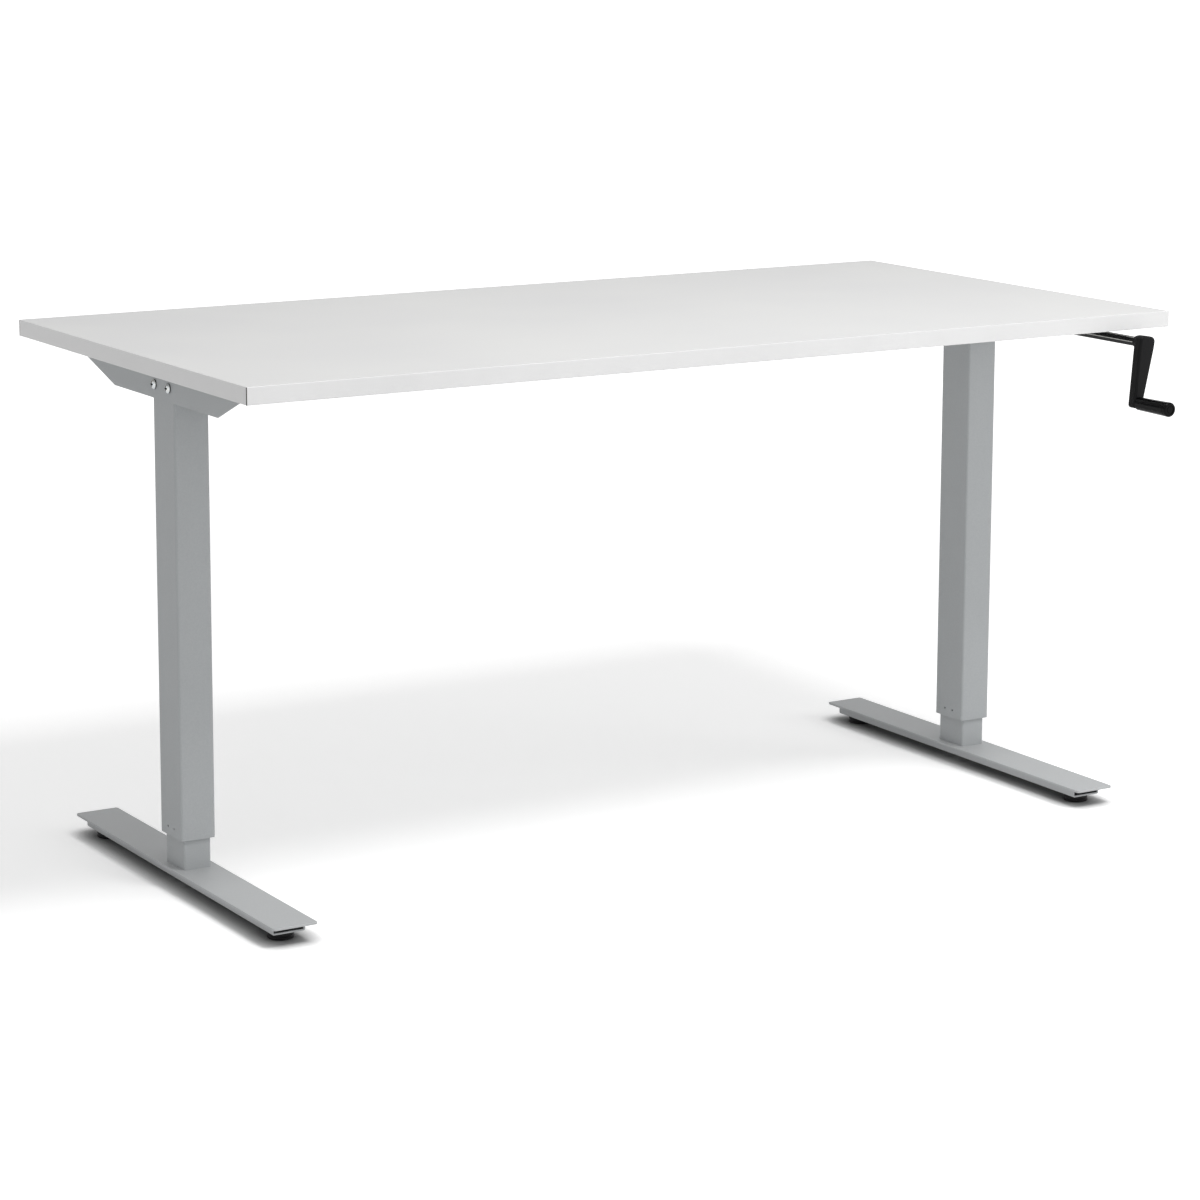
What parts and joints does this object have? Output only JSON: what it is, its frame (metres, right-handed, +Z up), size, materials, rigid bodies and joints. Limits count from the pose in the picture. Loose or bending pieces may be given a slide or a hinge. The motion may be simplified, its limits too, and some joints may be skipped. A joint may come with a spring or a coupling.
{
  "type": "height adjustable standing desk",
  "caption": "Sit-stand desk: a white rectangular top on telescopic columns with T-feet, raised and lowered by a hand crank under its front edge.",
  "frame": {"origin": "on the floor under the middle of the overall outline, crank included", "axes": "+X along the worktop to the user's right, +Y away from the user, +Z up"},
  "size_m": [1.4, 0.8102, 0.702],
  "materials": {
    "laminate": "white melamine faced board",
    "edge_band": "white ABS edging",
    "frame_paint": "silver grey powder coat",
    "zinc": "bright zinc plate",
    "bare_steel": "plain steel",
    "guide_plastic": "natural acetal",
    "black_plastic": "black moulded plastic",
    "black_metal": "satin black coat",
    "black_oxide": "black oxide steel",
    "gear_steel": "sintered steel",
    "cast_zinc": "die cast housing",
    "rubber": "dark moulded pad"
  },
  "bodies": {
    "left_base": {"inner_tube_left": "frame_paint", "upper_guide_left": "black_plastic", "lead_nut_left": "guide_plastic", "base_block_left": "bare_steel", "foot_plate_left": "frame_paint", "foot_channel_left": "frame_paint", "base_bolts_left": "zinc", "weld_nuts_left": "zinc", "foot_insert_front_left": "black_plastic", "foot_insert_rear_left": "black_plastic"},
    "right_base": {"inner_tube_right": "frame_paint", "upper_guide_right": "black_plastic", "lead_nut_right": "guide_plastic", "base_block_right": "bare_steel", "foot_plate_right": "frame_paint", "foot_channel_right": "frame_paint", "base_bolts_right": "zinc", "weld_nuts_right": "zinc", "foot_insert_front_right": "black_plastic", "foot_insert_rear_right": "black_plastic"},
    "upper_frame": {"worktop_board": "laminate", "edge_band_front": "edge_band", "edge_band_rear": "edge_band", "edge_band_left": "edge_band", "edge_band_right": "edge_band", "worktop_screws": "zinc", "column_bolts": "zinc", "thrust_bearings": "gear_steel", "cross_beam": "frame_paint", "crank_bearing": "black_plastic", "support_channel_left": "frame_paint", "outer_tube_left": "frame_paint", "lower_guide_left": "black_plastic", "gearbox_housing_left": "cast_zinc", "gearbox_cover_left": "cast_zinc", "support_channel_right": "frame_paint", "outer_tube_right": "frame_paint", "lower_guide_right": "black_plastic", "gearbox_housing_right": "cast_zinc", "gearbox_cover_right": "cast_zinc"},
    "left_screw": {"lead_screw_left": "bare_steel", "crown_gear_left": "gear_steel"},
    "right_screw": {"lead_screw_right": "bare_steel", "crown_gear_right": "gear_steel"},
    "cross_drive": {"cross_shaft": "black_oxide", "cross_pinion_left": "gear_steel", "cross_pinion_right": "gear_steel"},
    "crank": {"crank_rod": "black_oxide", "crank_pinion": "gear_steel", "crank_arm": "black_metal", "grip_axle": "bare_steel"},
    "grip": {"crank_grip": "black_plastic"},
    "glide_front_left": {"glide_pad_front_left": "rubber", "glide_stud_front_left": "zinc"},
    "glide_rear_left": {"glide_pad_rear_left": "rubber", "glide_stud_rear_left": "zinc"},
    "glide_front_right": {"glide_pad_front_right": "rubber", "glide_stud_front_right": "zinc"},
    "glide_rear_right": {"glide_pad_rear_right": "rubber", "glide_stud_rear_right": "zinc"}
  },
  "joints": [
    {"name": "lift", "type": "slide", "parent": "left_base", "child": "upper_frame", "axis": [0, 0, 1], "range_m": [-0.036, 0.42]},
    {"name": "right_lift", "type": "slide", "parent": "upper_frame", "child": "right_base", "axis": [0, 0, -1], "range_m": [-0.036, 0.42]},
    {"name": "crank_turn", "type": "hinge", "parent": "upper_frame", "child": "crank", "pos_m": [0.625, 0.05515, 0.667], "axis": [0, 1, 0], "range_deg": [-3241, 37801]},
    {"name": "cross_shaft_turn", "type": "hinge", "parent": "upper_frame", "child": "cross_drive", "pos_m": [0, 0.05515, 0.667], "axis": [1, 0, 0], "range_deg": [-3241, 37801]},
    {"name": "left_screw_turn", "type": "hinge", "parent": "upper_frame", "child": "left_screw", "pos_m": [-0.625, 0.05515, 0.4], "axis": [0, 0, 1], "range_deg": [-1621, 18901]},
    {"name": "right_screw_turn", "type": "hinge", "parent": "upper_frame", "child": "right_screw", "pos_m": [0.625, 0.05515, 0.4], "axis": [0, 0, 1], "range_deg": [-18901, 1621]},
    {"name": "grip_spin", "type": "hinge", "parent": "crank", "child": "grip", "pos_m": [0.61217, -0.37285, 0.58601], "axis": [0, 1, 0], "continuous": true},
    {"name": "glide_front_left_level", "type": "slide", "parent": "left_base", "child": "glide_front_left", "axis": [0, 0, -1], "range_m": [0, 0.006]},
    {"name": "glide_rear_left_level", "type": "slide", "parent": "left_base", "child": "glide_rear_left", "axis": [0, 0, -1], "range_m": [0, 0.006]},
    {"name": "glide_front_right_level", "type": "slide", "parent": "right_base", "child": "glide_front_right", "axis": [0, 0, -1], "range_m": [0, 0.006]},
    {"name": "glide_rear_right_level", "type": "slide", "parent": "right_base", "child": "glide_rear_right", "axis": [0, 0, -1], "range_m": [0, 0.006]}
  ],
  "couplings": [
    {"joint": "right_lift", "follows": "lift", "ratio": 1},
    {"joint": "crank_turn", "follows": "lift", "rad_per_m": 1570.8},
    {"joint": "cross_shaft_turn", "follows": "lift", "rad_per_m": 1570.8},
    {"joint": "left_screw_turn", "follows": "lift", "rad_per_m": 785.4},
    {"joint": "right_screw_turn", "follows": "lift", "rad_per_m": -785.4}
  ]
}
